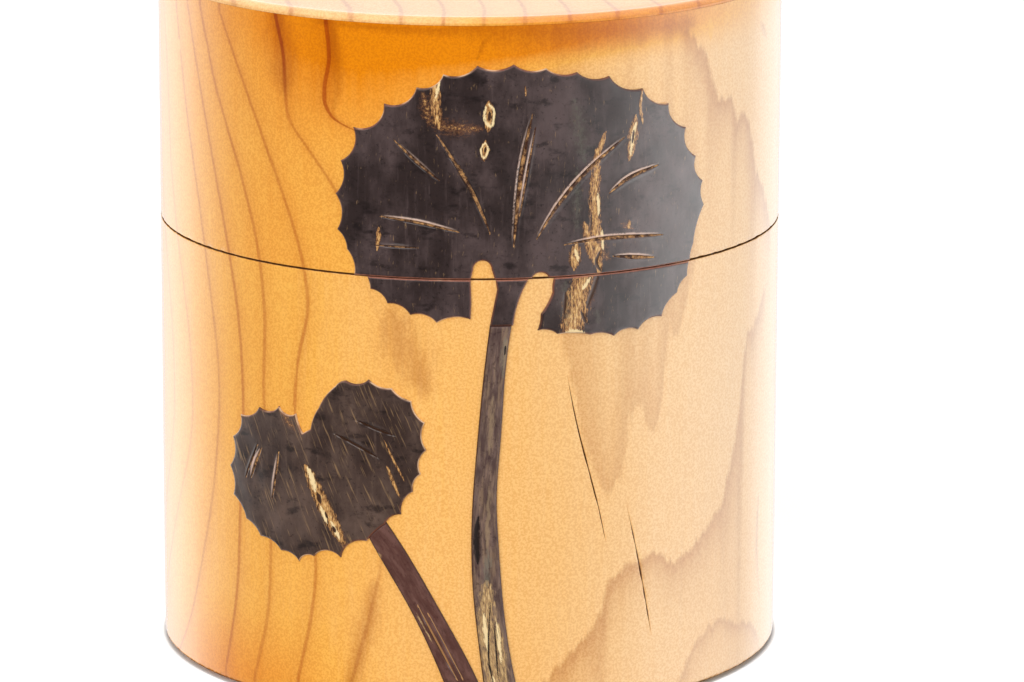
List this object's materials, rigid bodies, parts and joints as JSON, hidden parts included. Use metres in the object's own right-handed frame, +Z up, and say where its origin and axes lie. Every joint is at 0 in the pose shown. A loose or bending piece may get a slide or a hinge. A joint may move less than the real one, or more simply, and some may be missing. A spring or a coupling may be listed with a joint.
{
  "type": "tea caddy",
  "caption": "Round lacquered wooden tea caddy with an inner sleeve, a pull-off lid, a knobbed inner lid and leaves of tree bark laid on the wall.",
  "frame": {"origin": "centre of the underside, on the face that the caddy stands on", "axes": "+Z up along the caddy's axis; -Y points out through the middle of the side that carries the leaves; +X to the right when looking at the leaves"},
  "size_m": [0.08, 0.0804, 0.089],
  "materials": {
    "lacquered_wood": "clear gloss lacquer over honey-coloured softwood",
    "plain_wood": "bare planed softwood",
    "leaf_bark": "polished and lacquered dark bark",
    "grey_stalk_bark": "polished grey-brown bark with tan flecks",
    "red_stalk_bark": "polished reddish brown bark",
    "bark_lining": "satin reddish brown bark",
    "polished_bark": "laminated bark polished to a gloss"
  },
  "bodies": {
    "body": {"body_shell": "lacquered_wood", "base_face_board": "plain_wood", "base_core_board": "plain_wood", "inner_sleeve": "lacquered_wood", "floor_lining": "bark_lining", "sleeve_lining": "bark_lining", "large_leaf_lower_left": "leaf_bark", "large_leaf_lower_right": "leaf_bark", "large_leaf_neck": "leaf_bark", "large_leaf_stalk": "grey_stalk_bark", "small_leaf": "leaf_bark", "small_leaf_stalk": "red_stalk_bark"},
    "lid": {"lid_shell": "lacquered_wood", "lid_top_board": "lacquered_wood", "lid_core_board": "plain_wood", "lid_liner_ring": "lacquered_wood", "lid_ceiling_lining": "bark_lining", "large_leaf_upper": "leaf_bark"},
    "inner_lid": {"inner_lid_board": "lacquered_wood", "inner_lid_plug": "lacquered_wood", "inner_lid_facing": "bark_lining", "inner_lid_underfacing": "bark_lining", "knob": "polished_bark", "knob_peg": "plain_wood"}
  },
  "joints": [
    {"name": "lid_lift", "type": "slide", "parent": "body", "child": "lid", "axis": [0, 0, 1], "range_m": [0, 0.07]},
    {"name": "inner_lid_lift", "type": "slide", "parent": "body", "child": "inner_lid", "axis": [0, 0, 1], "range_m": [0, 0.03]}
  ],
  "couplings": [
    {"joint": "inner_lid_lift", "follows": "lid_lift", "ratio": 0.425}
  ]
}
